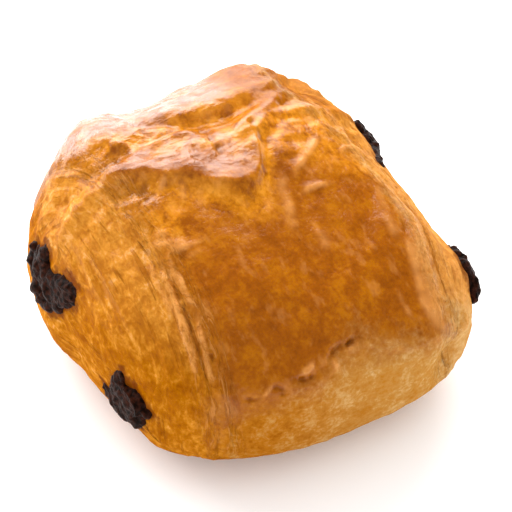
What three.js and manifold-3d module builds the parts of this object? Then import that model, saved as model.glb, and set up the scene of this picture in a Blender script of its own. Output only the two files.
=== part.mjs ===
// A mini pain au chocolat: layered dough folded round two chocolate batons and baked.
// Millimetres, +Z up, origin in the middle of the flat underside.
// +X runs along the batons, from one cut end to the other. -Y is the low front slope.
import * as THREE from 'three';
import { mergeVertices } from 'three/addons/utils/BufferGeometryUtils.js';
import Module from 'manifold-3d';

const manifoldLibrary = await Module();
manifoldLibrary.setup();

// Driving dimensions of the dough. Half widths are counted from its middle line.
const DOUGH = {
  left: 32.2,
  right: 28.9,
  front: 34.6,
  back: 33.2,
  midX: 1.3,
  midY: 0.7,
  waist: 13.1, // height of the widest level
  rise: 23.2, // from the widest level to the top
  sag: 1.06, // how far the underside would bulge below the table, as a share of the waist
  frontDrop: 7.7, // the top falls this much from its middle to the front
  leftLift: 3.75, // and rises this much to the left
  widerRight: 0.064, // share by which the right end is broader than the middle
  leanX: 1.1,
  leanY: -0.4,
};

// Powers of the rounded outlines: 2 is an ellipse, larger is squarer.
const POWER = { planLeft: 3.3, planRight: 3.7, end: 3.03, front: 2.85, back: 2.08, under: 2.87 };

// Squares of the dough's net along each direction, before it is rounded.
const NET = { x: 32, y: 36, z: 19 };

// Swellings and hollows of the dough: place, height (hollows are negative) and reach.
const SWELLINGS = [
  { name: 'back left hump', at: [-14, 25.3, 34], height: 1.75, reach: 4.6 },
  { name: 'dip beside the hump', at: [-8, 20.5, 37.5], height: -1.4, reach: 4.5 },
  { name: 'crest of the back roll', at: [5, 27, 32.3], height: 0.9, reach: 4 },
  { name: 'dip in the crest', at: [9.2, 26, 33.3], height: -0.3, reach: 4 },
  { name: 'right end of the back roll', at: [16.5, 26.6, 32], height: 1.3, reach: 5 },
  { name: 'sunken back right corner', at: [23, 18.5, 32.5], height: -2.8, reach: 4.5 },
  { name: 'raised right shoulder', at: [27.2, 12.5, 28.8], height: 0.6, reach: 4.5 },
  { name: 'right shoulder over the chocolate', at: [28, 6, 27], height: 0.3, reach: 4 },
  { name: 'sunken right shoulder', at: [27.5, -6.5, 25], height: -0.4, reach: 7 },
  { name: 'dip in the right shoulder', at: [27.4, -13, 24], height: -0.4, reach: 4 },
  { name: 'swelling over the front baton', at: [28.5, -21.7, 18.8], height: 1.2, reach: 4 },
  { name: 'sunken left shoulder', at: [-24, 15.5, 35], height: -1, reach: 5 },
  { name: 'sunken back left corner', at: [-21.5, 24.5, 31], height: -0.4, reach: 3.5 },
  { name: 'back of the left end', at: [-25.3, 21.5, 27], height: -0.7, reach: 4.5 },
  { name: 'pinched front corner', at: [20, -33.6, 12.7], height: -2.3, reach: 4.6 },
  { name: 'right front corner', at: [25.2, -30.2, 14.2], height: 0.7, reach: 3.6 },
  { name: 'low left front corner', at: [-18, -30, 7], height: -0.6, reach: 6 },
  { name: 'foot of the left front corner', at: [-25, -24, 7], height: -0.4, reach: 5 },
  { name: 'tucked left edge', at: [-30, -11, 5], height: -0.9, reach: 7 },
  { name: 'hollow between the batons', at: [-30.6, 2, 9], height: -1.1, reach: 4 },
  { name: 'left foot', at: [-30.4, 9.5, 8], height: -0.2, reach: 4 },
  { name: 'left foot towards the back', at: [-29.8, 15.5, 9], height: -0.8, reach: 4.5 },
  { name: 'hanging end of the crown fold', at: [-2, -1.6, 36.5], height: 0.9, reach: 3.4 },
];

// The roll's seam on top, and the ridges on both sides of it.
const ROLL = { seamY: 12.4, seamDepth: 1.3, seamWidth: 3.2, backY: 20.5, backHeight: 0.6, backWidth: 4.5 };

// The crown of the front roll: it rises steeply from its front edge and falls off slowly
// behind it. The front edge is given by places along and across the batons.
const CROWN = { height: 1.3, frontWidth: 1.8, backWidth: 5 };
const CROWN_LINE = [
  [-22, 9.5], [-18.4, 8], [-14.8, 6.2], [-10.9, 3.8], [-6, 0.9], [-4.5, -0.8], [-2.7, -2.2],
  [-0.7, -2.8], [1.5, -1.8], [4, 1], [5.5, 4], [8, 8], [12, 10.5],
];

// The outer layer of dough ends in a lip at both shoulders and low down on the front.
const LIP = { height: 0.6, width: 2.2, leftX: -19, rightX: 17.3, rightBow: 6, frontZ: 20.5, frontStep: 0.5 };

// Cut ends: the layers stand out as ridges that follow the shoulder.
const LAYERS = { spacing: 4.6, height: 0.34, middleY: -1, middleZ: 14, flatness: 1.3, quietRing: 8, fullRing: 16 };

// Slow unevenness of the whole surface.
const WAVES = { height: 0.45, length: 5.2 };

// Chocolate batons: middle and half sizes of the section at both ends and inside.
// The section is a slab, long across and thin, turned by tilt degrees about the baton.
const BATONS = {
  chocolate_baton_back: {
    tip: { left: -31.9, right: 31.9 },
    left: { y: 8.2, z: 20, long: 8.2, thin: 4.2, tilt: -38 },
    inside: { y: 9.5, z: 20, long: 5.5, thin: 3.2, tilt: -20 },
    right: { y: 9.8, z: 20.4, long: 5.4, thin: 3.3, tilt: -42 },
    crags: [
      { at: [-30.2, 12.8, 22.4], size: [2.2, 3.2, 4.2] },
      { at: [-30.6, 3.2, 23.4], size: [1.9, 3.2, 2.2] },
      { at: [30.6, 12.2, 22.6], size: [1.6, 2.2, 2.0] },
    ],
  },
  chocolate_baton_front: {
    tip: { left: -32.2, right: 32.4 },
    left: { y: -14.6, z: 15.4, long: 5.8, thin: 3.5, tilt: -14 },
    inside: { y: -16, z: 15, long: 5.5, thin: 3.2, tilt: -16 },
    right: { y: -18.6, z: 13.6, long: 5.2, thin: 3.1, tilt: 30 },
    crags: [
      { at: [-31.1, -13.6, 18.2], size: [1.1, 1.3, 2.9] },
      { at: [-30.8, -18.4, 16.8], size: [1.6, 2.8, 2.4] },
      { at: [30.8, -21.4, 12.4], size: [1.6, 2.4, 1.9] },
    ],
  },
};
const BATON_SIDES = 14;
const BATON_RINGS = 12;
const BATON_END_ROUND = 1.6; // length over which a baton's tip rounds off
const BATON_TIP_SHARE = 0.72; // the flat end's size as a share of the section
const BATON_SWELL = 13; // length over which the section swells towards an end
const CLEARANCE = 0.3; // gap between the chocolate and the dough's tunnel
const TUNNEL_OVERRUN = 6; // how far the tunnel's cutter passes the tips

const DOUGH_COLOUR = 0xc87a1e;
const CHOCOLATE_COLOUR = 0x3a2018;

const smooth = (from, to, value) => THREE.MathUtils.smoothstep(value, from, to);
const bell = (distance, width) => Math.exp(-((distance / width) ** 2));

// A box net rolled out to directions from the middle, as even as a ball's.
function directionNet() {
  const box = new THREE.BoxGeometry(2, 2, 2, NET.x, NET.y, NET.z);
  box.deleteAttribute('normal');
  box.deleteAttribute('uv');
  const net = mergeVertices(box);
  const place = net.getAttribute('position');
  const direction = new THREE.Vector3();
  for (let i = 0; i < place.count; i++) {
    direction.fromBufferAttribute(place, i);
    direction.set(...direction.toArray().map((side) => Math.tan((side * Math.PI) / 4))).normalize();
    place.setXYZ(i, direction.x, direction.y, direction.z);
  }
  return net;
}

// The plain form of the dough in one direction: a rounded loaf with a flat underside.
function loafPoint(direction) {
  const across = Math.hypot(direction.x, direction.y);
  const heading = Math.atan2(direction.y, direction.x);
  const cosine = Math.cos(heading);
  const sine = Math.sin(heading);
  const halfX = cosine < 0 ? DOUGH.left : DOUGH.right;
  const halfY = sine < 0 ? DOUGH.front : DOUGH.back;
  const planPower = cosine < 0 ? POWER.planLeft : POWER.planRight;
  const plan = (Math.abs(cosine / halfX) ** planPower + Math.abs(sine / halfY) ** planPower) ** (-1 / planPower);

  const sidePower = sine < 0 ? POWER.front : POWER.back;
  const upperPower = POWER.end * cosine ** 2 + sidePower * sine ** 2;
  const power = direction.z > 0 ? upperPower : POWER.under;
  const reach = (across ** power + Math.abs(direction.z) ** power) ** (-1 / power);

  let x = plan * cosine * across * reach;
  let y = plan * sine * across * reach;
  let height = direction.z * reach * (direction.z > 0 ? DOUGH.rise : DOUGH.waist * DOUGH.sag);
  const up = THREE.MathUtils.clamp(height / DOUGH.rise, 0, 1);
  y *= 1 + (DOUGH.widerRight * x) / DOUGH.right;
  height += up * ((DOUGH.frontDrop * y) / DOUGH.front - (DOUGH.leftLift * x) / DOUGH.right);
  x += up * DOUGH.leanX + DOUGH.midX;
  y += up * DOUGH.leanY + DOUGH.midY;
  return new THREE.Vector3(x, y, Math.max(height + DOUGH.waist, 0));
}

function swellings(point) {
  let sum = 0;
  for (const swelling of SWELLINGS) {
    const distance = point.distanceTo(new THREE.Vector3(...swelling.at));
    sum += swelling.height * bell(distance, swelling.reach);
  }
  return sum;
}

// Place across the batons of the crown's front edge.
function crownEdge(x) {
  const next = CROWN_LINE.findIndex((place) => place[0] >= x);
  if (next === -1) return CROWN_LINE[CROWN_LINE.length - 1][1];
  if (next === 0) return CROWN_LINE[0][1];
  const [x0, y0] = CROWN_LINE[next - 1];
  const [x1, y1] = CROWN_LINE[next];
  return y0 + ((y1 - y0) * (x - x0)) / (x1 - x0);
}

// Two rolls of dough meet on top: a seam between them, the crown in front, a ridge behind.
function rolls(point, top) {
  const behind = point.y - crownEdge(point.x);
  const crown = CROWN.height * bell(behind, behind < 0 ? CROWN.frontWidth : CROWN.backWidth);
  const seam = ROLL.seamDepth * bell(point.y - ROLL.seamY, ROLL.seamWidth);
  const ridge = ROLL.backHeight * bell(point.y - ROLL.backY, ROLL.backWidth);
  return top * (crown - seam + ridge);
}

// The glazed outer layer stops at the shoulders and low on the front.
function lips(point, top) {
  const leftX = LIP.leftX - 7 * smooth(8, 18, point.y);
  const rightX = LIP.rightX + LIP.rightBow * bell(point.y + 9, 14);
  const shoulders = bell(point.x - leftX, LIP.width) + bell(point.x - rightX, LIP.width);
  const frontSkin = smooth(-LIP.width, LIP.width, point.z - LIP.frontZ) * smooth(24, 29, -point.y);
  return LIP.height * shoulders * top + LIP.frontStep * frontSkin;
}

// Ridges of the dough's layers on a cut end, in rings that follow its outline.
function layers(point, endFacing) {
  const sideways = Math.abs(point.y - LAYERS.middleY);
  const upwards = Math.abs(point.z - LAYERS.middleZ) * LAYERS.flatness;
  const ring = (sideways ** 3 + upwards ** 3) ** (1 / 3);
  const drift = 1.5 * Math.sin(point.y / 7) + 1.2 * Math.sin(point.z / 5 + 1);
  const outer = endFacing * smooth(LAYERS.quietRing, LAYERS.fullRing, ring);
  return LAYERS.height * outer * Math.sin(((ring + drift) / LAYERS.spacing) * 2 * Math.PI);
}

function waves(point) {
  const a = Math.sin(point.x / WAVES.length + 1.3 * Math.sin(point.y / 6.1));
  const b = Math.sin(point.y / WAVES.length + 1.1 * Math.sin(point.z / 5.3 + 2));
  const c = Math.sin(point.z / WAVES.length + 1.7 * Math.sin(point.x / 7.7 + 1));
  return (WAVES.height * (a * b + b * c + c * a)) / 2;
}

// All relief along the surface's own direction. It fades out on the flat underside.
function relief(point, normal) {
  const top = smooth(0.15, 0.7, normal.z);
  const endFacing = smooth(0.55, 0.9, Math.abs(normal.x));
  const aboveTable = smooth(0.5, 6, point.z);
  const sum = swellings(point) + rolls(point, top) + lips(point, top) + layers(point, endFacing) + waves(point);
  return sum * aboveTable;
}

function doughGeometry() {
  const geometry = directionNet();
  const place = geometry.getAttribute('position');
  const point = new THREE.Vector3();
  for (let i = 0; i < place.count; i++) {
    place.setXYZ(i, ...loafPoint(point.fromBufferAttribute(place, i)).toArray());
  }
  geometry.computeVertexNormals();
  const normals = geometry.getAttribute('normal').clone();
  const normal = new THREE.Vector3();
  for (let i = 0; i < place.count; i++) {
    point.fromBufferAttribute(place, i);
    normal.fromBufferAttribute(normals, i);
    point.addScaledVector(normal, relief(point, normal));
    place.setXYZ(i, point.x, point.y, Math.max(point.z, 0));
  }
  geometry.deleteAttribute('normal');
  return geometry;
}

// Middle, half sizes and tilt of a baton's section at one place along it.
function batonSection(baton, x) {
  const end = x < 0 ? baton.left : baton.right;
  const tip = x < 0 ? baton.tip.left : baton.tip.right;
  const share = smooth(0, BATON_SWELL, Math.abs(x) - Math.abs(tip) + BATON_SWELL);
  const section = {};
  for (const key of Object.keys(end)) {
    section[key] = THREE.MathUtils.lerp(baton.inside[key], end[key], share);
  }
  return section;
}

// A baton as a bar with domed tips. Grown, and with both ends drawn out, it cuts its tunnel.
function batonGeometry(baton, grow, overrun) {
  const { left, right } = baton.tip;
  const bar = new THREE.CylinderGeometry(1, 1, 1, BATON_SIDES, BATON_RINGS);
  bar.rotateZ(-Math.PI / 2);
  bar.deleteAttribute('normal');
  bar.deleteAttribute('uv');
  const geometry = mergeVertices(bar);
  const place = geometry.getAttribute('position');
  const point = new THREE.Vector3();
  for (let i = 0; i < place.count; i++) {
    point.fromBufferAttribute(place, i);
    const share = 0.5 + Math.sin(point.x * Math.PI) / 2; // rings lie closer near the tips
    const x = THREE.MathUtils.lerp(left, right, share);
    const section = batonSection(baton, x);
    const toTip = THREE.MathUtils.clamp(Math.min(x - left, right - x) / BATON_END_ROUND, 0, 1);
    const dome = overrun > 0 ? 1 : THREE.MathUtils.lerp(BATON_TIP_SHARE, 1, Math.sqrt(1 - (1 - toTip) ** 2));
    const turn = THREE.MathUtils.degToRad(section.tilt);
    const uneven = 1 + 0.07 * Math.sin(3 * Math.atan2(point.z, point.y) + x / 3);
    const long = point.y * dome * (section.long * uneven + grow);
    const thin = point.z * dome * (section.thin * uneven + grow);
    const y = section.y + long * Math.cos(turn) - thin * Math.sin(turn);
    const z = section.z + long * Math.sin(turn) + thin * Math.cos(turn);
    const drawnOut = share < 0.001 ? -overrun : share > 0.999 ? overrun : 0;
    place.setXYZ(i, x + drawnOut, y, z);
  }
  return geometry;
}

// A lump of burst, dried chocolate at a tip.
function cragGeometry(crag, grow) {
  const lump = new THREE.IcosahedronGeometry(1, 1);
  lump.deleteAttribute('normal');
  lump.deleteAttribute('uv');
  const geometry = mergeVertices(lump);
  geometry.scale(...crag.size.map((half) => half + grow));
  geometry.translate(...crag.at);
  return geometry;
}

function toSolid(geometry) {
  const vertProperties = new Float32Array(geometry.getAttribute('position').array);
  const triVerts = new Uint32Array(geometry.getIndex().array);
  const mesh = new manifoldLibrary.Mesh({ numProp: 3, vertProperties, triVerts });
  return new manifoldLibrary.Manifold(mesh);
}

function toMesh(name, solid, colour, roughness) {
  const { vertProperties, triVerts } = solid.getMesh();
  const geometry = new THREE.BufferGeometry();
  geometry.setAttribute('position', new THREE.BufferAttribute(vertProperties, 3));
  geometry.setIndex(new THREE.BufferAttribute(triVerts, 1));
  geometry.computeVertexNormals();
  const material = new THREE.MeshStandardMaterial({ color: colour, roughness, metalness: 0 });
  const mesh = new THREE.Mesh(geometry, material);
  mesh.name = name;
  return mesh;
}

function batonSolid(baton, grow = 0, overrun = 0) {
  let solid = toSolid(batonGeometry(baton, grow, overrun));
  for (const crag of baton.crags) {
    solid = solid.add(toSolid(cragGeometry(crag, grow)));
  }
  return solid;
}

const painAuChocolat = new THREE.Group();
let dough = toSolid(doughGeometry());
for (const [name, baton] of Object.entries(BATONS)) {
  dough = dough.subtract(batonSolid(baton, CLEARANCE, TUNNEL_OVERRUN));
  painAuChocolat.add(toMesh(name, batonSolid(baton), CHOCOLATE_COLOUR, 0.6));
}
painAuChocolat.add(toMesh('dough', dough, DOUGH_COLOUR, 0.35));

export default painAuChocolat;
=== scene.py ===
import math

import bmesh
import bpy
import numpy as np
from mathutils import Matrix, Vector, noise
from mathutils.bvhtree import BVHTree


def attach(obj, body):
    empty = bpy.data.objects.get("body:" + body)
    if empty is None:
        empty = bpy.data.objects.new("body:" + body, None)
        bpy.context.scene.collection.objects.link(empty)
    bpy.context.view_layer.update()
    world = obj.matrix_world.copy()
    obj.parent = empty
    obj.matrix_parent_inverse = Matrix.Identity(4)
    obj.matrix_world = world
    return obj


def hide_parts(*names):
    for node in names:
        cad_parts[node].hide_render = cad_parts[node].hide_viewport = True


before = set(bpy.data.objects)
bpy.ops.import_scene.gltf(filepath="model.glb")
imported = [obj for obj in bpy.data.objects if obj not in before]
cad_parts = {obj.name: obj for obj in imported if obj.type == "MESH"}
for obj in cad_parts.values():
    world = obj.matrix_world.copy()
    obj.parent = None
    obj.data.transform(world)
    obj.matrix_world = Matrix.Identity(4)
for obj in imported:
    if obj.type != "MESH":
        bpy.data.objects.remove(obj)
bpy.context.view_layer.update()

# The view
# A long lens looks down on the pastry from its left front corner, so that the glazed
# slope, the left cut end and the tips of both batons show. Lengths are in millimetres.
MM = 0.001
VIEW_AZIMUTH = math.radians(-31.95)
VIEW_ELEVATION = math.radians(45.87)
VIEW_DISTANCE = 440.1
LENS = 182.8
AIM_RIGHT = 1.98  # the picture's middle lies this far right of the underside's middle,
AIM_UP = 12.6  # and this far above it
PICTURE = 512  # pixels along each side of the picture
MIDDLE = (1.3, 0.7)  # of the dough at its widest, along and across the batons
SEARCH_STEP = 0.5  # a line of sight that misses is searched in such steps
SEARCH_STEPS = 90  # and this many each way

back = Vector((
    math.sin(VIEW_AZIMUTH) * math.cos(VIEW_ELEVATION),
    -math.cos(VIEW_AZIMUTH) * math.cos(VIEW_ELEVATION),
    math.sin(VIEW_ELEVATION),
))
sight = Vector((0, 0, 1)).cross(back).normalized()
upward = back.cross(sight)
form_middle = Vector((*MIDDLE, 0))
camera = bpy.data.objects.new("camera", bpy.data.cameras.new("camera"))
camera.data.lens = LENS
camera.data.clip_start = 0.05
camera.data.clip_end = 5
camera.location = (form_middle + back * VIEW_DISTANCE) * MM
aim = (form_middle + sight * AIM_RIGHT + upward * AIM_UP) * MM
camera.rotation_euler = (aim - camera.location).to_track_quat("-Z", "Y").to_euler()
bpy.context.collection.objects.link(camera)
bpy.context.scene.camera = camera


# The dough
# A square of laminated yeast dough, folded over two batons from the back and the front,
# set down on its seam, brushed with egg on top and baked. The layers show at the cut ends.
DOUGH_CUTS = 127  # cuts of the net's edges before it is rounded
HALF = {"left": 32.2, "right": 28.9, "front": 34.6, "back": 33.2}
WAIST = 13.1  # height at which the loaf is widest
RISE = 23.2  # from there to the top
SAG = 1.06  # from there down to the round underside, as a share of WAIST; the table cuts it flat
FRONT_DROP = 7.7  # how much lower the top lies at the front than in the middle
LEFT_LIFT = 3.75  # how much higher it lies at the left
WIDER_RIGHT = 0.064  # how much wider the right end is than the middle, as a share
LEAN = (1.1, -0.4)  # how far the top is shifted over the waist
POWER = {"left": 3.3, "right": 3.7, "end": 3.03, "front": 2.85, "back": 2.08, "under": 2.87}

SWELLINGS = [  # place, height and reach
    ((-14, 25.3, 34), 1.75, 4.6),  # back left hump
    ((-8, 20.5, 37.5), -1.4, 4.5),  # dip beside the hump
    ((5, 27, 32.3), 0.9, 4),  # crest of the back roll
    ((9.2, 26, 33.3), -0.3, 4),  # dip in the crest
    ((16.5, 26.6, 32), 1.3, 5),  # right end of the back roll
    ((23, 18.5, 32.5), -2.8, 4.5),  # sunken back right corner
    ((27.2, 12.5, 28.8), 0.6, 4.5),  # raised right shoulder
    ((28, 6, 27), 0.3, 4),  # right shoulder over the chocolate
    ((27.5, -6.5, 25), -0.4, 7),  # sunken right shoulder
    ((27.4, -13, 24), -0.4, 4),  # dip in the right shoulder
    ((28.5, -21.7, 18.8), 1.2, 4),  # swelling over the front baton
    ((-24, 15.5, 35), -1, 5),  # sunken left shoulder
    ((-15.5, 14.8, 38.2), 0.9, 2.8),  # step in front of the back left hump
    ((-21.5, 24.5, 31), -0.4, 3.5),  # sunken back left corner
    ((-25.3, 21.5, 27), -0.7, 4.5),  # back of the left end
    ((20, -33.6, 12.7), -2.3, 4.6),  # pinched front corner
    ((25.2, -30.2, 14.2), 0.7, 3.6),  # right front corner
    ((-18, -30, 7), -0.6, 6),  # low left front corner
    ((-25, -24, 7), -0.4, 5),  # foot of the left front corner
    ((-30, -11, 5), -0.9, 7),  # tucked left edge
    ((-30.6, 2, 9), -1.1, 4),  # hollow between the batons
    ((-30.4, 9.5, 8), -0.2, 4),  # left foot
    ((-29.8, 15.5, 9), -0.8, 4.5),  # left foot towards the back
    ((-2, -1.6, 36.5), 0.9, 3.4),  # hanging end of the crown fold
]

# The crown's front edge on top, as places along and across the batons.
CROWN_LINE = [
    (-22, 9.5), (-18.4, 8), (-14.8, 6.2), (-10.9, 3.8), (-6, 0.9), (-4.5, -0.8), (-2.7, -2.2), (-0.7, -2.8),
    (1.5, -1.8), (4, 1), (5.5, 4), (8, 8), (12, 10.5),
]

# The two rolls on top, and where painted light makes the skin on them brightest.
CROWN = {"height": 1.3, "front_width": 1.8, "back_width": 5.0}
SEAM = {"across": 12.4, "depth": 1.3, "width": 3.2}
BACK_RIDGE = {"across": 20.5, "height": 0.6, "width": 4.5}
RIM = {"behind": 0.4, "width": 1.5}  # the smooth rim of the crown
CROWN_LIGHT = {"before": 3, "width": 3}
VALLEY_LIGHT = {"across": 14.5, "width": 2.5, "fade": (14, 8)}
LIP_LIGHT = {"place": (166, 222), "reach": 5.5, "strength": 0.9}  # the place is in the picture
TOP_SLOPE = (0.15, 0.7)  # shares by which the surface faces up where the top sets in
RELIEF_FROM = (0.5, 6)  # heights above the table over which the relief sets in

# The glazed skin ends at the shoulders. Each shoulder runs from the front's foot, over the
# top and down the back, and the cut end's outline closes along the table.
LEFT_SHOULDER = [
    (-20.6, -28.6, 6), (-20.8, -28, 15), (-20.3, -24.6, 25.4), (-18.9, -15, 31.8), (-18.2, -7, 34.7),
    (-18.4, 4, 37.3), (-19, 11.5, 38), (-20.5, 17.5, 36), (-23, 23, 26), (-25, 26, 8),
]
RIGHT_SHOULDER = [
    (18.9, -33.6, 6), (18.9, -33.6, 15.9), (20.1, -28, 22), (22.9, -18, 25.5), (23.6, -11, 27.4),
    (22.8, 1.5, 31.1), (21, 10.7, 33.8), (18.5, 17, 35), (19.5, 25, 31), (22, 31, 20), (22, 32, 8),
]
LEFT_FOOT = [(-26, 24, 0.5), (-29, 12, 0), (-29.5, -4, 0), (-27, -20, 0), (-23, -28, 0)]
RIGHT_FOOT = [(25, 28, 0.5), (28, 12, 0), (28, -10, 0), (25, -27, 0), (19, -32, 0)]

# The glaze's lower border: its height along the front, and along the back.
FRONT_BORDER = [
    (-23, 13), (-20.5, 17), (-17, 20.5), (-5, 20.3), (0.5, 23), (4, 22.6), (8, 20.8), (14, 19.6), (21, 18),
]
BACK_BORDER_Z = 15
CUT_EDGE = (1.0, -1.2)  # from inside the shoulder to outside it, where the cut end sets in
EDGE_SOFTNESS = 1.5  # distance over which the depth changes sign at the shoulder

# Fine relief all over the skin.
SKIN = 0.3  # thickness of the glazed skin at its edge
BLISTERS = 0.16  # their height
LAYERS = {"height": 0.5, "gap": 1.5, "stretch": 6, "fade": 7}  # ridges round a cut end
WRINKLES = {"height": 0.28, "gap": 2.6, "along": 0.38}  # along is the noise's scale that way
WAVES = {"height": 0.45, "length": 5.2, "bends": (6.1, 5.3, 7.7)}
WAVER = 0.4  # how far the lines of folds stray
SMOOTHER = {"share": 0.75, "along": (3, 11)}  # the glaze puckers less towards the right

LINE_TAPER = 2.0  # length over which the line of a fold runs out
LINE_END = 0.3  # share of the height that is left at its ends
LINE_REACH = 6  # how far from a line its relief is still worked out

# Folds of the skin on top. Each is a line of places in the picture, with its height in
# millimetres, which is negative for a hollow, and its half width on its left and right.
FOLDS = [
    ("crown edge", 0.5, 2.4, 0.8, [
        (104, 180), (120, 177), (143, 175), (163, 177), (184, 178), (199, 181), (213, 187), (228, 191),
        (241, 190), (252, 182), (258, 169),
    ]),
    ("lobe to back roll", 0.7, 1.5, 1.0, [(238, 146), (242, 130), (252, 118), (266, 107), (282, 96)]),
    ("seam", -0.9, 1.8, 1.6, [(176, 126), (200, 120), (220, 114), (240, 107), (256, 101)]),
    ("seam, left end", -0.6, 1.2, 1.2, [(136, 122), (150, 121), (165, 122), (180, 120)]),
    ("front of back roll", 0.7, 2.6, 0.7, [
        (146, 118), (164, 120), (181, 119), (197, 116), (213, 111), (236, 104),
    ]),
    ("ridge at the left", 0.5, 1.2, 0.8, [(92, 124), (107, 122), (122, 124), (150, 131)]),
    ("left ridge", 0.4, 1.0, 0.8, [(86, 150), (97, 147), (107, 146), (119, 147), (135, 151)]),
    ("lower left ridge", 0.5, 0.9, 0.6, [(101, 160), (111, 152), (121, 148), (132, 147)]),
    ("left side of the lobe", 0.6, 0.8, 1.4, [
        (107, 175), (120, 164), (131, 157), (140, 149), (155, 141), (175, 133), (195, 128),
    ]),
    ("drip", 0.6, 1.4, 1.0, [(106, 176), (112, 185), (122, 192)]),
    ("inside the right lobe", 0.35, 0.7, 0.7, [(229, 141), (237, 151), (240, 163), (236, 176)]),
    ("right end of the back roll", 0.4, 0.8, 0.8, [(257, 92), (268, 87), (279, 84)]),
]

# Creases and tears, given in the same way. Their colour is painted darker the deeper they are, as painted
# shade in the hollows.
CREASES = [
    ("between the lobes", -0.6, 0.8, 0.8, [(198, 122), (205, 130), (212, 140), (219, 150), (222, 160)]),
    ("upper left patch", -0.6, 1.0, 1.2, [(124, 123), (142, 127), (160, 133)]),
    ("lower left patch", -0.7, 0.9, 1.2, [(99, 171), (111, 164), (128, 157)]),
    ("red hollow", -0.7, 1.4, 1.4, [(136, 185), (142, 190), (146, 197), (147, 205)]),
    ("wrinkle", -0.3, 0.5, 0.5, [(136, 164), (150, 158), (165, 152), (180, 148)]),
    ("wrinkle", -0.4, 0.6, 0.6, [(186, 142), (195, 146), (201, 153), (197, 158)]),
    ("wrinkle", -0.3, 0.5, 0.5, [(160, 166), (175, 161), (190, 161), (206, 168)]),
    ("wrinkle", -0.25, 0.5, 0.5, [(172, 143), (184, 137), (194, 136)]),
    ("wrinkle", -0.25, 0.5, 0.5, [(222, 139), (229, 148), (232, 158), (230, 170)]),
    ("wrinkle", -0.4, 0.5, 0.5, [(232, 82), (242, 76), (253, 71)]),
    ("wrinkle", -0.4, 0.6, 0.6, [(250, 84), (262, 79), (273, 78)]),
    ("wrinkle", -0.3, 0.7, 0.7, [(268, 100), (280, 104), (292, 102)]),
    ("right shoulder", -0.3, 0.9, 0.9, [(394, 206), (402, 224), (408, 244)]),
    ("brown hollow", -0.5, 1.1, 1.1, [(250, 123), (256, 134), (262, 146), (271, 152)]),
    ("groove", -0.4, 0.6, 0.6, [(166, 263), (172, 280), (179, 300), (188, 325), (196, 350), (203, 375)]),
    ("slit", -0.5, 0.5, 0.5, [(209, 350), (211, 359), (212, 370)]),
    ("torn edge", -0.9, 0.6, 0.4, [(328, 361), (334, 352), (340, 347), (350, 343), (358, 337)]),
    ("torn edge", -0.8, 0.6, 0.4, [(291, 380), (300, 381), (308, 379), (316, 374)]),
    ("torn edge", -0.8, 0.7, 0.5, [(272, 387), (280, 391), (286, 398)]),
    ("torn edge", -0.6, 0.5, 0.4, [(244, 398), (253, 401), (262, 398)]),
]

# Pale marks, given in the same way: partly pale edges of the skin's layers and partly painted highlights
# and sheen on small ridges.
PALE_MARKS_AND_HIGHLIGHTS = [
    ("fleck", 0.35, 0.5, 0.4, [(286, 125), (300, 121), (315, 118)]),
    ("fleck", 0.35, 0.7, 0.6, [(294, 178), (301, 163), (309, 151), (319, 139)]),
    ("fleck", 0.35, 0.6, 0.5, [(300, 197), (308, 190), (319, 186), (334, 185)]),
    ("fleck", 0.3, 0.5, 0.5, [(338, 152), (347, 148), (355, 148)]),
    ("fleck", 0.3, 0.5, 0.5, [(158, 194), (162, 187), (166, 180)]),
    ("fleck", 0.25, 0.6, 0.6, [(180, 184), (182, 193), (183, 203)]),
    ("fleck", 0.2, 0.5, 0.5, [(213, 186), (220, 188), (228, 191)]),
    ("streak", 0.2, 1.0, 1.0, [(281, 176), (284, 195), (290, 215), (292, 233)]),
    ("streak", 0.15, 1.3, 1.3, [(317, 226), (324, 240), (331, 252)]),
    ("streak", 0.2, 1.0, 1.0, [(376, 184), (382, 205), (390, 228), (397, 241)]),
    ("right edge", 0.4, 0.7, 0.6, [
        (306, 94), (320, 110), (337, 126), (349, 143), (368, 158), (380, 172), (396, 187), (409, 204),
    ]),
    ("left lip", 0.2, 0.7, 0.7, [(152, 237), (160, 234), (169, 237)]),
    ("left lip", 0.2, 0.9, 0.7, [(148, 247), (166, 245), (180, 244), (188, 240)]),
    ("left lip", 0.25, 0.7, 0.5, [(166, 253), (184, 249), (196, 243), (206, 238)]),
    ("left lip", 0.15, 0.5, 0.5, [(184, 258), (195, 254), (205, 250)]),
    ("layer edge", 0.35, 0.5, 0.4, [(150, 262), (157, 282), (165, 300), (172, 318)]),
    ("layer edge", 0.4, 0.5, 0.4, [
        (160, 262), (168, 284), (178, 310), (187, 336), (192, 358), (197, 380),
    ]),
    ("layer edge", 0.35, 0.4, 0.4, [(172, 300), (182, 326), (188, 350)]),
    ("layer edge", 0.4, 0.4, 0.4, [(168, 256), (174, 270), (183, 288), (192, 309)]),
    ("layer edge", 0.4, 0.4, 0.4, [(195, 316), (202, 340), (207, 364), (213, 388)]),
    ("right shoulder", 0.3, 1.5, 1.5, [
        (385, 180), (399, 202), (414, 228), (424, 262), (433, 300), (440, 336),
    ]),
    ("right shoulder", 0.25, 0.8, 0.8, [(404, 236), (413, 262), (421, 292), (428, 322)]),
    ("right shoulder", 0.25, 1.0, 1.0, [(448, 258), (459, 281), (466, 303), (463, 336)]),
    ("right shoulder", 0.2, 0.5, 0.5, [(397, 290), (404, 306), (412, 322)]),
    ("flake", 0.4, 0.6, 0.5, [(301, 375), (308, 369), (313, 362)]),
    ("flake", 0.3, 0.5, 0.4, [(318, 368), (324, 363), (327, 356)]),
    ("flake", 0.3, 0.5, 0.4, [(345, 352), (353, 347), (362, 343)]),
    ("flake", 0.3, 0.5, 0.4, [(262, 398), (268, 392), (271, 385)]),
    ("flake", 0.3, 0.6, 0.6, [(331, 358), (336, 366), (339, 374)]),
]


def smooth(start, stop, value):
    """0 before start, 1 after stop, and a soft step between them."""
    share = np.clip((value - start) / (stop - start), 0, 1)
    return share * share * (3 - 2 * share)


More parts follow.
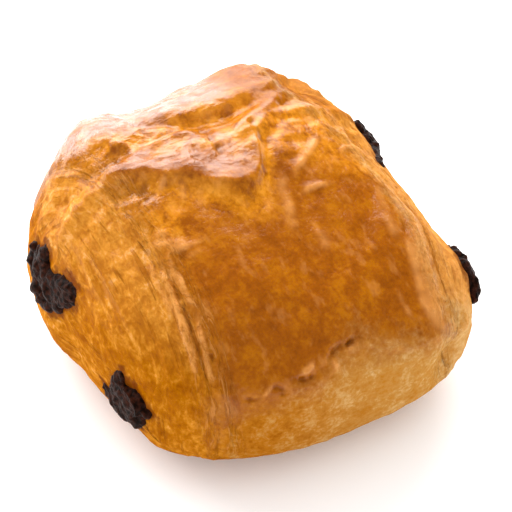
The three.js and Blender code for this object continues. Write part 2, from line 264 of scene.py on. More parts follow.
def bell(distance, width):
    return np.exp(-((distance / width) ** 2))


def rough(points, size, seed=0.0):
    """Soft noise between about -1 and 1, whose lumps are size millimetres apart."""
    shift = Vector((seed, 1.7 * seed, -seed))
    return np.array([noise.noise(Vector(p) + shift) for p in (points / size).tolist()])


def net_mesh(name, cuts):
    """A box net whose points are spread over the directions as evenly as on a ball."""
    work = bmesh.new()
    bmesh.ops.create_cube(work, size=2)
    bmesh.ops.subdivide_edges(work, edges=work.edges[:], cuts=cuts, use_grid_fill=True)
    mesh = bpy.data.meshes.new(name)
    work.to_mesh(mesh)
    work.free()
    return mesh


def vertex_values(mesh, what):
    values = np.empty(len(mesh.vertices) * 3)
    mesh.vertices.foreach_get(what, values)
    return values.reshape(-1, 3)


def set_places(mesh, places):
    mesh.vertices.foreach_set("co", np.ascontiguousarray(places, dtype=np.float64).ravel())
    mesh.update()


def store(mesh, name, values):
    layer = mesh.attributes.new(name, "FLOAT", "POINT")
    layer.data.foreach_set("value", np.ascontiguousarray(values, dtype=np.float32))


def loaf(direction):
    """The plain form of the dough in each direction: a rounded loaf with a flat underside."""
    x, y, z = direction.T
    across = np.hypot(x, y)
    heading = np.arctan2(y, x)
    cosine, sine = np.cos(heading), np.sin(heading)
    half_x = np.where(cosine < 0, HALF["left"], HALF["right"])
    half_y = np.where(sine < 0, HALF["front"], HALF["back"])
    power = np.where(cosine < 0, POWER["left"], POWER["right"])
    plan = (np.abs(cosine / half_x) ** power + np.abs(sine / half_y) ** power) ** (-1 / power)
    side = np.where(sine < 0, POWER["front"], POWER["back"])
    upper = POWER["end"] * cosine**2 + side * sine**2
    power = np.where(z > 0, upper, POWER["under"])
    reach = (across**power + np.abs(z) ** power) ** (-1 / power)
    px = plan * cosine * across * reach
    py = plan * sine * across * reach
    height = z * reach * np.where(z > 0, RISE, WAIST * SAG)
    up = np.clip(height / RISE, 0, 1)
    py = py * (1 + WIDER_RIGHT * px / HALF["right"])
    height = height + up * (FRONT_DROP * py / HALF["front"] - LEFT_LIFT * px / HALF["right"])
    px = px + up * LEAN[0] + MIDDLE[0]
    py = py + up * LEAN[1] + MIDDLE[1]
    return np.stack([px, py, np.maximum(height + WAIST, 0)], 1)


def surface_tree(mesh, places):
    return BVHTree.FromPolygons(places.tolist(), [tuple(face.vertices) for face in mesh.polygons])


def seen_place(tree, pixel):
    """Where the line of sight through a place in the picture meets or passes the dough."""
    half = camera.data.sensor_width / 2 / LENS
    right = (pixel[0] / PICTURE * 2 - 1) * half
    up = (1 - pixel[1] / PICTURE * 2) * half
    ray = (camera.rotation_euler.to_matrix() @ Vector((right, up, -1))).normalized()
    eye = camera.location / MM
    hit = tree.ray_cast(eye, ray)[0]
    if hit is not None:
        return np.array(hit)
    steps = range(-SEARCH_STEPS, SEARCH_STEPS + 1)
    along = [eye + ray * (VIEW_DISTANCE + step * SEARCH_STEP) for step in steps]
    return np.array(min(along, key=lambda place: tree.find_nearest(place)[3]))


def curved(points, steps=5):
    """A smooth line through points."""
    points = [np.array(point, dtype=float) for point in points]
    points = [2 * points[0] - points[1], *points, 2 * points[-1] - points[-2]]
    line = []
    for a, b, c, d in zip(points, points[1:], points[2:], points[3:]):
        for t in np.arange(steps) / steps:
            pull = 2 * b + (c - a) * t + (2 * a - 5 * b + 4 * c - d) * t**2
            line.append(0.5 * (pull + (3 * b - a - 3 * c + d) * t**3))
    return np.array([*line, points[-2]])


def nearest(places, line):
    """Distance to a line, length along it, and the step from it and its heading there."""
    best = np.full(len(places), np.inf)
    length = np.zeros(len(places))
    offset = np.zeros_like(places)
    heading = np.zeros_like(places)
    done = 0.0
    for a, b in zip(line, line[1:]):
        along = b - a
        size = np.linalg.norm(along)
        t = np.clip((places - a) @ along / size**2, 0, 1)
        step = places - a - t[:, None] * along
        distance = np.linalg.norm(step, axis=1)
        closer = distance < best
        best[closer] = distance[closer]
        length[closer] = done + t[closer] * size
        offset[closer] = step[closer]
        heading[closer] = along / size
        done += size
    return best, length, offset, heading


def relief_of(lines, places, waver, normal, tree):
    """Height of a list of lines at each place. They stray by waver."""
    total = np.zeros(len(places))
    for _, height, left_width, right_width, pixels in lines:
        line = curved([seen_place(tree, pixel) for pixel in pixels])
        size = np.linalg.norm(np.diff(line, axis=0), axis=1).sum()
        near = np.linalg.norm(places - line.mean(0), axis=1) < LINE_REACH + size
        distance, length, offset, heading = nearest((places + waver)[near], line)
        side = np.einsum("ij,ij->i", np.cross(normal[near], heading), offset)
        width = np.where(side > 0, left_width, right_width)
        taper = min(LINE_TAPER, size / 3)
        fade = smooth(0, taper, length) * smooth(0, taper, size - length)
        total[near] += height * (LINE_END + (1 - LINE_END) * fade) * bell(distance, width)
    return total


def beyond_shoulders(p):
    """Millimetres that each place lies inside the nearer shoulder, negative on a cut end."""
    left, right = (
        np.interp(p[:, 1], *zip(*[(q[1], q[0]) for q in shoulder]))
        for shoulder in (LEFT_SHOULDER, RIGHT_SHOULDER)
    )
    return np.minimum(p[:, 0] - left, right - p[:, 0])


def above_border(p):
    """Millimetres that each place lies above the glaze's lower border."""
    x, y, z = p.T
    return z - np.where(y < 0, np.interp(x, *zip(*FRONT_BORDER)), BACK_BORDER_Z)


def swellings(p):
    total = np.zeros(len(p))
    for place, height, reach in SWELLINGS:
        total += height * bell(np.linalg.norm(p - np.array(place), axis=1), reach)
    return total


def behind_crown(p):
    """Millimetres that each place lies behind the crown's front edge."""
    return p[:, 1] - np.interp(p[:, 0], *zip(*CROWN_LINE))


def rolls(p, top):
    """Two rolls of dough meet on top: the crown in front, a seam, and a ridge behind."""
    behind = behind_crown(p)
    width = np.where(behind < 0, CROWN["front_width"], CROWN["back_width"])
    crown = CROWN["height"] * bell(behind, width)
    seam = SEAM["depth"] * bell(p[:, 1] - SEAM["across"], SEAM["width"])
    ridge = BACK_RIDGE["height"] * bell(p[:, 1] - BACK_RIDGE["across"], BACK_RIDGE["width"])
    return top * (crown - seam + ridge)


def from_outline(p):
    """How far each place lies in from its cut end's outline, and how far round it."""
    left = nearest(p, curved([*LEFT_SHOULDER, *LEFT_FOOT, LEFT_SHOULDER[0]]))
    right = nearest(p, curved([*RIGHT_SHOULDER, *RIGHT_FOOT, RIGHT_SHOULDER[0]]))
    on_left = p[:, 0] < 0
    return np.where(on_left, left[0], right[0]), np.where(on_left, left[1], right[1])


def layers(p, inward, round_it, cut):
    """Broken ridges of the dough's layers, which run round the cut end beside its outline."""
    uneven = inward + 0.5 * rough(p, 6.0, seed=3)
    places = np.stack([uneven, round_it / LAYERS["stretch"], np.zeros(len(p))], 1)
    broad = rough(places, LAYERS["gap"], seed=9)
    fine = rough(places, 0.8, seed=4)
    fade = 0.5 + 0.5 * np.exp(-inward / LAYERS["fade"])
    return cut * fade * LAYERS["height"] * (broad + 0.5 * fine)


def wrinkles(p, top):
    """Small folds of the skin on top, which run along the batons."""
    places = p * np.array([WRINKLES["along"], 1, 1])
    sharp = 1 - 2 * np.abs(rough(places, WRINKLES["gap"], seed=12))
    return top * smooth(-4, 6, p[:, 1]) * WRINKLES["height"] * sharp


def waves(p):
    """A soft unevenness all over: waves along each axis, bent by those of another."""
    x, y, z = p.T
    length = WAVES["length"]
    bend_y, bend_z, bend_x = WAVES["bends"]
    a = np.sin(x / length + 1.3 * np.sin(y / bend_y))
    b = np.sin(y / length + 1.1 * np.sin(z / bend_z + 2))
    c = np.sin(z / length + 1.7 * np.sin(x / bend_x + 1))
    return WAVES["height"] * (a * b + b * c + c * a) / 2


def zones_of(plain, normal):
    """For each place, how far it lies on top, on a cut end, under the glaze and on the rim."""
    side = beyond_shoulders(plain)
    depth, round_it = from_outline(plain)
    top = smooth(*TOP_SLOPE, normal[:, 2])
    return {
        "top": top,
        "cut": smooth(*CUT_EDGE, side + 0.9 * rough(plain, 3.5, seed=41)),
        "glazed": np.minimum(side, above_border(plain)),
        "depth": depth,
        "inward": depth * np.clip(-side / EDGE_SOFTNESS, -1, 1),
        "round_it": round_it,
        "rim": top * bell(behind_crown(plain) - RIM["behind"], RIM["width"]),
    }


def lines_on(tree, plain, normal):
    """The relief of the folds, of the creases and of the pale marks and painted highlights, each a little
    broken.
    """
    waver = WAVER * np.stack([rough(plain, 3.0, seed) for seed in (1, 2, 3)], 1)
    folds = relief_of(FOLDS, plain, waver, normal, tree)
    creases = relief_of(CREASES, plain, waver, normal, tree)
    creases *= np.clip(0.8 + 1.1 * rough(plain, 1.1, seed=33), 0.1, 1.5)
    pale_and_lit_marks = relief_of(PALE_MARKS_AND_HIGHLIGHTS, plain, waver, normal, tree)
    pale_and_lit_marks *= np.clip(0.85 + 0.6 * rough(plain, 2.0, seed=31), 0.2, 1.2)
    return folds, creases, pale_and_lit_marks


def lit_parts(tree, plain, top):
    """Where light is painted into the skin's colour: before the crown, along the seam and above the left
    lip.
    """
    before_crown = bell(behind_crown(plain) + CROWN_LIGHT["before"], CROWN_LIGHT["width"])
    in_valley = bell(plain[:, 1] - VALLEY_LIGHT["across"], VALLEY_LIGHT["width"])
    in_valley *= smooth(*VALLEY_LIGHT["fade"], plain[:, 0])
    lip = seen_place(tree, LIP_LIGHT["place"])
    by_lip = bell(np.linalg.norm(plain - lip, axis=1), LIP_LIGHT["reach"])
    return np.maximum(top * np.maximum(before_crown, in_valley), LIP_LIGHT["strength"] * by_lip)


def dough_mesh():
    mesh = net_mesh("dough_body", DOUGH_CUTS)
    direction = np.tan(vertex_values(mesh, "co") * math.pi / 4)
    direction /= np.linalg.norm(direction, axis=1)[:, None]
    plain = loaf(direction)
    set_places(mesh, plain)
    normal = vertex_values(mesh, "normal")
    tree = surface_tree(mesh, plain)
    zone = zones_of(plain, normal)
    top, cut = zone["top"], zone["cut"]
    folds, creases, pale_and_lit_marks = lines_on(tree, plain, normal)

    relief = swellings(plain) + rolls(plain, top) + waves(plain) + folds + creases + pale_and_lit_marks
    relief += SKIN * smooth(-0.6, 0.6, zone["glazed"] + 0.9 * rough(plain, 2.5, seed=7))
    relief += BLISTERS * (rough(plain, 3.1) + 0.5 * rough(plain, 1.3, seed=5))
    relief += layers(plain, zone["depth"], zone["round_it"], cut)
    relief += wrinkles(plain, top * (1 - 0.8 * zone["rim"]))
    relief *= smooth(*RELIEF_FROM, plain[:, 2])
    p = plain + normal * relief[:, None]
    p[:, 2] = np.maximum(p[:, 2], 0)
    set_places(mesh, p * MM)

    wrinkled = top * smooth(-4, 4, plain[:, 1]) * (1 - cut)
    wrinkled *= 1 - SMOOTHER["share"] * smooth(*SMOOTHER["along"], plain[:, 0])
    for name in ("glazed", "cut", "inward", "round_it", "rim"):
        store(mesh, name, zone[name])
    store(mesh, "crease", creases)
    store(mesh, "pale_and_lit_mark", pale_and_lit_marks)
    store(mesh, "wrinkled", wrinkled)
    store(mesh, "painted_light", lit_parts(tree, plain, top))
    return mesh


def linear(red, green, blue):
    """A colour seen on a screen, 0 to 255, as the light that a shader works in."""
    parts = [c / 255 for c in (red, green, blue)]
    return [c / 12.92 if c <= 0.04045 else ((c + 0.055) / 1.055) ** 2.4 for c in parts] + [1.0]


class Finish:
    """A material being put together from nodes."""

    def __init__(self, name):
        self.material = bpy.data.materials.new(name)
        self.material.use_nodes = True
        self.nodes = self.material.node_tree.nodes
        self.links = self.material.node_tree.links
        self.shader = self.nodes["Principled BSDF"]
        self.place = self.nodes.new("ShaderNodeTexCoord").outputs["Object"]

    def put(self, socket, value):
        """Links an output to a socket, or sets the socket's own value."""
        if isinstance(value, bpy.types.NodeSocket):
            self.links.new(value, socket)
        else:
            socket.default_value = value

    def math(self, operation, first, second=0.0, third=0.0):
        node = self.nodes.new("ShaderNodeMath")
        node.operation = operation
        for socket, value in zip(node.inputs, (first, second, third)):
            self.put(socket, value)
        return node.outputs[0]

    def product(self, first, *others):
        for other in others:
            first = self.math("MULTIPLY", first, other)
        return first

    def mixture(self, *parts):
        """The sum of values, each given with its weight."""
        total = 0.0
        for value, weight in parts:
            total = self.math("MULTIPLY_ADD", value, weight, total)
        return total

    def step(self, value, start, stop):
        """A soft step from 0 to 1 as value goes from start to stop."""
        node = self.nodes.new("ShaderNodeMapRange")
        node.interpolation_type = "SMOOTHSTEP"
        for socket, setting in zip(node.inputs, (value, start, stop, 0.0, 1.0)):
            self.put(socket, setting)
        return node.outputs[0]

    def attribute(self, name):
        node = self.nodes.new("ShaderNodeAttribute")
        node.attribute_name = name
        return node.outputs["Fac"]

    def place_parts(self):
        """Place along X, Y and Z in millimetres."""
        node = self.nodes.new("ShaderNodeSeparateXYZ")
        self.links.new(self.place, node.inputs[0])
        return [self.math("MULTIPLY", part, 1 / MM) for part in node.outputs]

    def stretched(self, x, y, z):
        node = self.nodes.new("ShaderNodeMapping")
        node.inputs["Scale"].default_value = (x, y, z)
        self.links.new(self.place, node.inputs["Vector"])
        return node.outputs[0]

    def grid(self, x, y, squeeze):
        """Places in metres from two values in millimetres, the second one squeezed."""
        node = self.nodes.new("ShaderNodeCombineXYZ")
        self.put(node.inputs[0], self.math("MULTIPLY", x, MM))
        self.put(node.inputs[1], self.math("MULTIPLY", y, squeeze * MM))
        return node.outputs[0]

    def speckle(self, size, detail=3.0, roughness=0.5, place=None, distortion=0.0):
        """Noise from 0 to 1 whose lumps are size millimetres apart."""
        node = self.nodes.new("ShaderNodeTexNoise")
        node.inputs["Scale"].default_value = 1 / (size * MM)
        node.inputs["Detail"].default_value = detail
        node.inputs["Roughness"].default_value = roughness
        node.inputs["Distortion"].default_value = distortion
        self.links.new(place or self.place, node.inputs["Vector"])
        return node.outputs["Fac"]

    def blend(self, share, first, second):
        node = self.nodes.new("ShaderNodeMix")
        node.data_type = "RGBA"
        colours = [socket for socket in node.inputs if socket.type == "RGBA"]
        self.put(node.inputs[0], share)
        self.put(colours[0], first)
        self.put(colours[1], second)
        return next(socket for socket in node.outputs if socket.type == "RGBA")

    def tint(self, colour, other, where, strength):
        """A colour with another mixed in, as strongly as given, where a value is 1."""
        return self.blend(self.math("MULTIPLY", where, strength), colour, other)

    def ramp(self, value, *stops):
        node = self.nodes.new("ShaderNodeValToRGB")
        self.links.new(value, node.inputs["Fac"])
        points = node.color_ramp.elements
        while len(points) < len(stops):
            points.new(0.5)
        for point, (position, colour) in zip(points, stops):
            point.position = position
            point.color = colour
        return node.outputs["Color"]

    def bump(self, height, depth, below=None):
        """Relief of depth millimetres from a height of 0 to 1."""
        node = self.nodes.new("ShaderNodeBump")
        node.inputs["Strength"].default_value = 1.0
        node.inputs["Distance"].default_value = depth * MM
        self.links.new(height, node.inputs["Height"])
        if below is not None:
            self.links.new(below, node.inputs["Normal"])
        return node.outputs["Normal"]


AMBER_DARK = linear(130, 65, 0)
AMBER = linear(148, 78, 0)
AMBER_LIGHT = linear(168, 97, 0)
AMBER_LIT = linear(201, 123, 10)
AMBER_LIT_MOST = linear(228, 150, 42)
PALE_FLAKE_AND_HIGHLIGHT = linear(214, 146, 76)
STRAW_BROWN = linear(172, 110, 34)
STRAW = linear(180, 128, 62)
STRAW_PALE = linear(202, 164, 108)
CUT_DARK = linear(140, 74, 0)
CUT = linear(164, 95, 2)
CUT_PALE = linear(194, 125, 32)
PEACH = linear(216, 157, 96)
CHOCOLATE_STAIN = linear(96, 38, 8)
CHOCOLATE_DARK = linear(18, 7, 3)
CHOCOLATE_BROWN = linear(62, 29, 17)


def crust_finish():
    crust = Finish("crust")
    along, across, height = crust.place_parts()
    cut = crust.attribute("cut")
    rim = crust.attribute("rim")
    wrinkled = crust.attribute("wrinkled")
    clouds = crust.speckle(5.0, 3, 0.5)
    grains = crust.speckle(0.7, 3, 0.6)
    border = crust.mixture(
        (crust.speckle(3.5, 3, 0.6), 6.0),
        (crust.speckle(0.9, 3, 0.6), 5.0),
        (crust.attribute("glazed"), 1.0),
    )
    glazed = crust.step(border, 1.8, 9.2)

    # The glaze: amber in soft patches, with painted light making it lighter high on the right, before the
    # crown, along the seam and above the left lip; darker low on the left, with a few pale scuffs.
    patches = crust.speckle(2.2, 3, 0.5, crust.stretched(1, 0.7, 0.7), 0.6)
    mottle = crust.mixture((clouds, 0.3), (patches, 0.4), (grains, 0.3))
    amber = crust.ramp(mottle, (0.38, AMBER_DARK), (0.5, AMBER), (0.62, AMBER_LIGHT))
    lit_amber = crust.ramp(mottle, (0.38, AMBER), (0.5, AMBER_LIT), (0.62, AMBER_LIT_MOST))
    towards_back = crust.step(crust.mixture((across, 1.0), (along, 0.5)), 1, 9)
    upper_right = crust.product(towards_back, crust.step(across, 14, 7))
    low_left = crust.product(crust.step(height, 32, 20), crust.step(along, 2, -14))
    scuffs = crust.step(crust.speckle(2.0, 3, 0.5, crust.stretched(1, 0.55, 0.55), 0.2), 0.55, 0.72)
    # Painted light: lighter amber high on the right and in the parts where light is painted in.
    amber = crust.tint(amber, lit_amber, upper_right, 0.6)
    amber = crust.tint(amber, AMBER_DARK, low_left, 0.2)
    amber = crust.tint(amber, lit_amber, crust.attribute("painted_light"), 0.85)
    amber = crust.tint(amber, PALE_FLAKE_AND_HIGHLIGHT, scuffs, 0.2)

    # The sides below the glaze: pale straw, browner to the left, painted paler towards the right end as
    # painted light, and darkened at the right foot next to the table as painted shade.
    straw_strokes = crust.speckle(1.5, 4, 0.7, crust.stretched(0.7, 1, 1), 0.8)
    # Painted light: the straw is paler towards the right end.
    straw_mottle = crust.mixture(
        (crust.speckle(4.0, 4, 0.6), 0.4),
        (straw_strokes, 0.35),
        (grains, 0.3),
        (crust.step(along, 8, 26), 0.06),
    )
    straw = crust.ramp(straw_mottle, (0.4, STRAW_BROWN), (0.53, STRAW), (0.66, STRAW_PALE))
    low_straw = crust.ramp(straw_mottle, (0.42, CUT_DARK), (0.52, CUT), (0.66, STRAW))
    # Painted shade: the straw is browner at the right foot, next to the table.
    foot_shade = crust.product(crust.step(height, 7, 1.5), crust.step(along, -5, 12))
    straw = crust.tint(straw, low_straw, crust.step(along, 8, -16), 0.85)
    straw = crust.tint(straw, STRAW_BROWN, foot_shade, 0.5)

    # The cut ends: strokes and thin leaves of dough follow the outline of each end. The gaps between the
    # leaves are darkened as painted shade, and the right end is painted paler and more peach as painted
    # light.
    round_it = crust.attribute("round_it")
    inward = crust.attribute("inward")
    strokes = crust.speckle(0.9, 3, 0.6, crust.grid(inward, round_it, 0.45), 0.8)
    leaves = crust.speckle(1.0, 2, 0.5, crust.grid(inward, round_it, 0.06), 0.2)
    leaf_gaps = crust.product(crust.step(leaves, 0.42, 0.37), crust.step(clouds, 0.42, 0.56))
    blotches = crust.speckle(3.0, 3, 0.6, None, 0.5)
    high_cut = crust.product(cut, crust.step(height, 22, 34), crust.step(along, 5, -5))
    lit_right_cut = crust.product(cut, crust.step(along, 5, 15), crust.step(height, 34, 27))
    back_right = crust.product(cut, crust.step(along, 5, 15), crust.step(across, 6, 14))
    above_foot = crust.product(crust.step(height, 19, 14), crust.step(height, 4, 9))
    front_cut = crust.product(above_foot, crust.step(along, -20, -24))
    # Painted light: the mottle is shifted paler on the right cut end.
    cut_mottle = crust.mixture(
        (blotches, 0.45),
        (strokes, 0.35),
        (grains, 0.2),
        (high_cut, 0.08),
        (lit_right_cut, 0.08),
        (front_cut, 0.04),
        (back_right, -0.08),
    )
    cut_colour = crust.ramp(cut_mottle, (0.38, CUT_DARK), (0.51, CUT), (0.62, CUT_PALE), (0.72, PEACH))
    # Painted light: the right cut end is paler and more peach.
    cut_colour = crust.tint(cut_colour, PEACH, lit_right_cut, 0.3)
    cut_colour = crust.tint(cut_colour, PEACH, high_cut, 0.08)
    # Painted shade in the gaps between the leaves.
    cut_colour = crust.tint(cut_colour, CUT_DARK, leaf_gaps, 0.5)

    # Broken pale and dark edges of the skin run beside both shoulders.
    edges = crust.speckle(0.8, 3, 0.6, crust.grid(inward, round_it, 0.18), 1.0)
    by_shoulder = crust.product(crust.step(inward, 5, 1.5), crust.step(inward, -4.5, -1.5))
    pale_edges = crust.product(crust.step(edges, 0.54, 0.62), by_shoulder)
    dark_edges = crust.product(crust.step(edges, 0.45, 0.38), by_shoulder)

    # All of it together, with the creases' painted shade, the pale marks and painted highlights, and the
    # stain of the chocolate.
    streaky = crust.step(crust.mixture((strokes, 0.5), (grains, 0.3), (clouds, 0.2)), 0.36, 0.6)
    streaky = crust.math("MAXIMUM", streaky, crust.product(glazed, 0.8))
    pale_and_lit_marks = crust.product(crust.step(crust.attribute("pale_and_lit_mark"), 0.0, 0.3), streaky)
    stain = crust.mixture((crust.attribute("stain"), 1.0), (crust.speckle(2.5, 3, 0.6), 5.0), (1.0, -2.5))
    bare = crust.blend(crust.product(cut, crust.step(across, -33, -26)), straw, cut_colour)
    colour = crust.blend(glazed, bare, amber)
    # Painted shade: the creases and tears are darker the deeper they are.
    colour = crust.tint(colour, AMBER_DARK, crust.step(crust.attribute("crease"), -0.12, -0.55), 0.65)
    colour = crust.tint(colour, AMBER_DARK, dark_edges, 0.3)
    colour = crust.tint(colour, PALE_FLAKE_AND_HIGHLIGHT, pale_edges, 0.3)
    # Pale marks: partly pale flakes of skin, partly painted highlights and sheen.
    colour = crust.tint(colour, PALE_FLAKE_AND_HIGHLIGHT, pale_and_lit_marks, 0.75)
    colour = crust.tint(colour, CHOCOLATE_STAIN, crust.step(stain, 0.9, 2.2), 0.7)
    crust.put(crust.shader.inputs["Base Color"], colour)

    # Shine, which is strongest on the wet patches on top.
    wet = crust.step(crust.speckle(1.8, 4, 0.6, crust.stretched(0.6, 1, 1), 0.5), 0.36, 0.56)
    wet = crust.math("MAXIMUM", wet, rim)
    back_roll = crust.product(glazed, crust.step(along, 13, 7), crust.step(across, 16, 20))
    coat = crust.mixture(
        (glazed, 0.33),
        (crust.product(glazed, wrinkled, wet), 0.6),
        (back_roll, 0.5),
        (cut, 0.04),
        (high_cut, 0.15),
        (crust.product(rim, glazed), 0.15),
    )
    crust.put(crust.shader.inputs["Coat Weight"], coat)
    crust.put(crust.shader.inputs["Roughness"], crust.math("MULTIPLY_ADD", glazed, -0.15, 0.65))
    crust.shader.inputs["Specular IOR Level"].default_value = 0.0
    crust.shader.inputs["Coat Roughness"].default_value = 0.22
    crust.shader.inputs["Coat IOR"].default_value = 1.6
    crust.shader.inputs["Subsurface Weight"].default_value = 0.12
    crust.shader.inputs["Subsurface Radius"].default_value = (1.0, 0.5, 0.2)
    crust.shader.inputs["Subsurface Scale"].default_value = 0.001

    # Relief too fine for the mesh: puckers and pits in the glaze, and flaky cut ends.
    folds = crust.speckle(2.2, 3, 0.5, crust.stretched(0.7, 1, 1), 0.3)
    puckered = crust.mixture((folds, 0.7), (wet, 0.12))
    off_rim = crust.math("MULTIPLY_ADD", rim, -0.8, 1.0)
    puckers = crust.bump(crust.product(puckered, off_rim, wrinkled), 0.5)
    pits = crust.bump(grains, 0.09, puckers)
    crust.put(crust.shader.inputs["Coat Normal"], pits)
    flaky = crust.product(crust.mixture((strokes, 0.5), (leaf_gaps, -0.4)), cut)
    flaky = crust.bump(flaky, 0.3, pits)
    flaky = crust.bump(crust.mixture((pale_edges, 0.5), (dark_edges, -0.5)), 0.2, flaky)
    crust.put(crust.shader.inputs["Normal"], flaky)
    return crust.material


def finished_piece(name, mesh, material, slot, *nodes):
    """Puts a mesh in the scene as a piece that rides on the body and stands for nodes."""
    mesh.materials.clear()
    mesh.materials.append(material)
    mesh.shade_smooth()
    piece = bpy.data.objects.new(name, mesh)
    bpy.context.collection.objects.link(piece)
    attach(piece, "root")
    if nodes:
        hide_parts(*nodes)
    return piece


dough = finished_piece("dough_body", dough_mesh(), crust_finish(), "crust", "dough")


# The chocolate batons
# Two bars of dark baking chocolate, laid in before the dough was folded. They run through
# it, and their ends have boiled out a little at the cuts and dried to rough dark lumps.
# A bar's sections are places along it with middle, half sizes and tilt in degrees. Its
# lumps are rows of beads, each with a place and a radius: the place is in the picture, or
# in millimetres along, across and up where the picture doesn't show it.
BATONS = {
    "chocolate_baton_back": {
        "sections": [(-30.5, 8.2, 20, 5.4, 3.0, -38), (-14, 9.5, 20, 5.5, 3.2, -20),
                     (14, 9.5, 20, 5.5, 3.2, -20), (31.1, 9.6, 21.2, 5.3, 3.5, -42)],
        "lumps": [
            [(36, 244, 0.9), (34, 250, 1.5), (34, 257, 1.8), (35, 264, 1.9), (37, 272, 2.1), (39, 281, 2.3),
             (41, 290, 2.5), (44, 299, 2.2), (47, 305, 1.5)],
            [(40, 252, 1.4), (39, 258, 2.0), (40, 267, 2.4)],
            [(46, 251, 1.3), (45, 257, 1.9), (44, 265, 2.3), (47, 274, 2.5)],
            [(46, 280, 2.6), (55, 283, 2.4), (64, 286, 2.2), (72, 290, 1.7)],
            [(52, 292, 2.6), (60, 296, 2.3), (68, 298, 1.9), (72, 296, 1.6)],
            [(50, 303, 1.7), (60, 303, 1.5)],
            [(359, 124, 1.1), (364, 132, 1.6), (370, 141, 1.7), (375, 152, 1.5), (379, 163, 1.0)],
            [(29, 8.2, 26, 1.8), (30, 8.4, 23.5, 2.4), (30.6, 9, 21, 2.6)],
            [(29.2, 4.6, 24.8, 1.6), (30, 5.8, 22.6, 2.0), (30.6, 7.6, 20.4, 2.2)],
        ],
    },
    "chocolate_baton_front": {
        "sections": [(-31, -14.6, 15.4, 4.2, 2.6, -14), (-14, -16, 15, 5.5, 3.2, -16),
                     (14, -16, 15, 5.5, 3.2, -16), (31.4, -18.8, 14.4, 5.2, 3.3, 30)],
        "lumps": [
            [(120, 374, 1.1), (119, 380, 1.5), (117, 388, 1.9), (119, 396, 2.1)],
            [(107, 388, 1.3), (112, 394, 1.9), (119, 402, 2.4), (127, 411, 2.6), (135, 417, 2.3),
             (141, 420, 1.6)],
            [(129, 400, 2.1), (138, 403, 2.0), (144, 411, 1.7)],
            [(455, 249, 1.1), (461, 258, 1.6), (467, 269, 2.0), (472, 281, 2.1), (476, 291, 1.7),
             (476, 297, 1.2)],
            [(29.3, -20.5, 20, 1.8), (30, -20, 17.6, 2.4), (30.6, -19, 15, 2.6)],
            [(28.8, -24.2, 17.6, 1.8), (29.6, -22.8, 15.6, 2.2), (30.4, -20.6, 13.6, 2.3)],
        ],
    },
}
BAR_SIDES = 24
BEAD_STEP = 0.5  # distance between beads along a row
BEAD_SINK = 0.45  # how deep a bead sits in the dough, as a share of its radius
LUMP_GRAIN = 0.3  # size of the net that joins bar and beads
CRAGS = {"height": 0.9, "sink": 0.4, "grit": 0.12}
CRAGS_FROM = (25, 28)  # distance from the middle over which the crags set in
BATON_FLOOR = 0.2  # the chocolate stays this far above the table
STAIN_REACH = 2.2  # how far melted chocolate has stained the dough
STAIN_FROM = 18  # no stain lies nearer to the middle than this


def add_bar(work, sections):
    """A closed bar of oval section through sections."""
    edges = []
    for x, y, z, long, thin, tilt in sections:
        place = Matrix.Translation((x, y, z)) @ Matrix.Rotation(math.radians(tilt), 4, "X")
        oval = Matrix.Diagonal((1, long, thin, 1)) @ Matrix.Rotation(math.radians(90), 4, "Y")
        at_end = (x, y, z, long, thin, tilt) in (sections[0], sections[-1])
        ring = bmesh.ops.create_circle(
            work, segments=BAR_SIDES, radius=1, cap_ends=at_end, matrix=place @ oval
        )
        around = {edge for vertex in ring["verts"] for edge in vertex.link_edges}
        if edges:
            bmesh.ops.bridge_loops(work, edges=[*edges, *around])
        edges = list(around)


def row_place(tree, point):
    """The place of a point of a row, which is given in the picture or in millimetres."""
    return seen_place(tree, point[:2]) if len(point) == 3 else np.array(point[:3])


def add_beads(work, row, tree):
    """A row of beads, half sunk in the dough."""
    for start, stop in zip(row, row[1:]):
        here, there = (row_place(tree, point) for point in (start, stop))
        count = max(1, round(np.linalg.norm(there - here) / BEAD_STEP))
        for share in np.arange(count + 1) / count:
            radius = (1 - share) * start[-1] + share * stop[-1]
            place = Vector((1 - share) * here + share * there)
            outward = tree.find_nearest(place)[1]
            middle = Matrix.Translation(place - outward * radius * BEAD_SINK)
            bmesh.ops.create_icosphere(work, subdivisions=2, radius=radius, matrix=middle)


def joined(work, name):
    """One closed mesh of everything in work, on an even net."""
    rough_mesh = bpy.data.meshes.new(name)
    work.to_mesh(rough_mesh)
    work.free()
    holder = bpy.data.objects.new(name, rough_mesh)
    bpy.context.collection.objects.link(holder)
    remesh = holder.modifiers.new("joined", "REMESH")
    remesh.mode = "VOXEL"
    remesh.voxel_size = LUMP_GRAIN
    done = holder.evaluated_get(bpy.context.evaluated_depsgraph_get())
    mesh = bpy.data.meshes.new_from_object(done)
    bpy.data.objects.remove(holder)
    bpy.data.meshes.remove(rough_mesh)
    return mesh


def ridged(values):
    """The size of values without their sign, rounded where they are near 0."""
    return np.sqrt(values**2 + 0.01)


def crags(points):
    """Dried lumps and pits of boiled chocolate."""
    broad = ridged(rough(points, 2.4, seed=20))
    fine = ridged(rough(points, 1.2, seed=21))
    grit = CRAGS["grit"] * rough(points, 0.6, seed=22)
    return CRAGS["height"] * (broad + 0.5 * fine) - CRAGS["sink"] + grit


def baton_mesh(name, tree):
    work = bmesh.new()
    add_bar(work, BATONS[name]["sections"])
    for row in BATONS[name]["lumps"]:
        add_beads(work, row, tree)
    mesh = joined(work, name)
    places = vertex_values(mesh, "co")
    normal = vertex_values(mesh, "normal")
    outside = smooth(*CRAGS_FROM, np.abs(places[:, 0]))
    places += normal * (crags(places) * outside)[:, None]
    places[:, 2] = np.maximum(places[:, 2], BATON_FLOOR)
    set_places(mesh, places * MM)
    return mesh


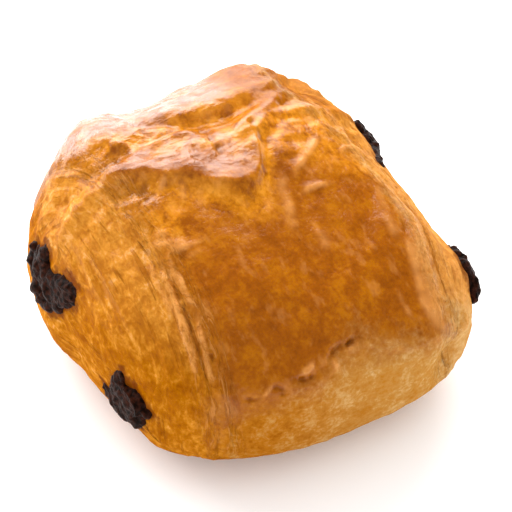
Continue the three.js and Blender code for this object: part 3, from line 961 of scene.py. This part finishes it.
def chocolate_finish():
    chocolate = Finish("chocolate")
    crumbs = chocolate.speckle(0.8, 4, 0.6)
    brown = chocolate.ramp(crumbs, (0.4, CHOCOLATE_DARK), (0.72, CHOCOLATE_BROWN))
    chocolate.put(chocolate.shader.inputs["Base Color"], brown)
    chocolate.put(chocolate.shader.inputs["Normal"], chocolate.bump(crumbs, 0.3))
    chocolate.shader.inputs["Roughness"].default_value = 0.4
    chocolate.shader.inputs["Specular IOR Level"].default_value = 0.04
    return chocolate.material


def distance_to(mesh, places, most):
    """Distance of each place to a mesh in millimetres, up to most."""
    tree = surface_tree(mesh, vertex_values(mesh, "co") / MM)
    hits = (tree.find_nearest(Vector(place), most)[3] for place in places)
    return np.array([most if hit is None else hit for hit in hits])


chocolate = chocolate_finish()
dough_places = vertex_values(dough.data, "co") / MM
dough_tree = surface_tree(dough.data, dough_places)
ends = np.abs(dough_places[:, 0]) > STAIN_FROM
clear = np.full(len(dough_places), STAIN_REACH)
for node in BATONS:
    mesh = baton_mesh(node, dough_tree)
    finished_piece(node + "_rough", mesh, chocolate, "chocolate", node)
    clear[ends] = np.minimum(clear[ends], distance_to(mesh, dough_places[ends], STAIN_REACH))
store(dough.data, "stain", STAIN_REACH - clear)


# Table and light
# A white table top, lit by one large soft light behind and above the pastry, which the
# glaze mirrors, and by an even white surround.
FLOOR_SIZE = 3.0
floor_net = bmesh.new()
bmesh.ops.create_grid(floor_net, x_segments=1, y_segments=1, size=FLOOR_SIZE / 2)
floor_mesh = bpy.data.meshes.new("floor")
floor_net.to_mesh(floor_mesh)
floor_net.free()
floor = bpy.data.objects.new("floor", floor_mesh)
bpy.context.collection.objects.link(floor)
paper = Finish("white_paper")
paper.shader.inputs["Base Color"].default_value = (0.95, 0.95, 0.95, 1)
paper.shader.inputs["Roughness"].default_value = 0.9
paper.shader.inputs["Emission Color"].default_value = (1, 1, 1, 1)
paper.shader.inputs["Emission Strength"].default_value = 0.07
floor.data.materials.append(paper.material)

world = bpy.data.worlds.new("surround")
bpy.context.scene.world = world
world.use_nodes = True
world.node_tree.nodes["Background"].inputs["Color"].default_value = (1, 1, 1, 1)
world.node_tree.nodes["Background"].inputs["Strength"].default_value = 1.2
world.cycles_visibility.glossy = False

# The bright backdrop that the glaze mirrors. Its places and sizes are in metres.
BACKDROP_PLACE = Vector((0.15, 0.84, 0.53))
BACKDROP_TARGET = Vector((0, 0, 0.03))
BACKDROP_SIZE = (1.7, 1.0)
BACKDROP_POWER = 29
light = bpy.data.lights.new("backdrop_light", "AREA")
light.shape = "RECTANGLE"
light.size, light.size_y = BACKDROP_SIZE
light.energy = BACKDROP_POWER
lamp = bpy.data.objects.new("backdrop_light", light)
lamp.location = BACKDROP_PLACE
lamp.rotation_euler = (BACKDROP_TARGET - BACKDROP_PLACE).to_track_quat("-Z", "Y").to_euler()
bpy.context.collection.objects.link(lamp)

bpy.context.scene.view_settings.view_transform = "Standard"
